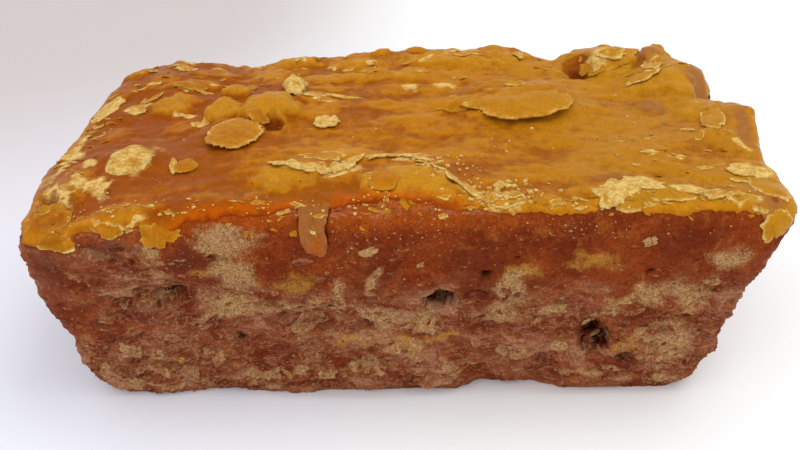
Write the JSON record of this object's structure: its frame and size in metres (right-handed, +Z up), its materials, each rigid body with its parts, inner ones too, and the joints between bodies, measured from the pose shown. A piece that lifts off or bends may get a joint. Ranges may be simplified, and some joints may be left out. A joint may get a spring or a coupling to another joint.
{
  "type": "jaggery block",
  "caption": "Rough tapered loaf of unrefined cane sugar with a smooth amber top skin, lifted flakes, pits and pale crusts, resting on its flat base.",
  "frame": {"origin": "on the flat base, under the middle of the loaf", "axes": "+X along the loaf to the right of the pictured side, -Y towards that side, +Z up from the base"},
  "size_m": [0.1806, 0.0972, 0.0581],
  "materials": {
    "jaggery": "red-brown sugar, dull and granular on the sides, glossy amber on the top, with pale dry crusts"
  },
  "bodies": {
    "root": {"jaggery_block": "jaggery"}
  },
  "joints": []
}
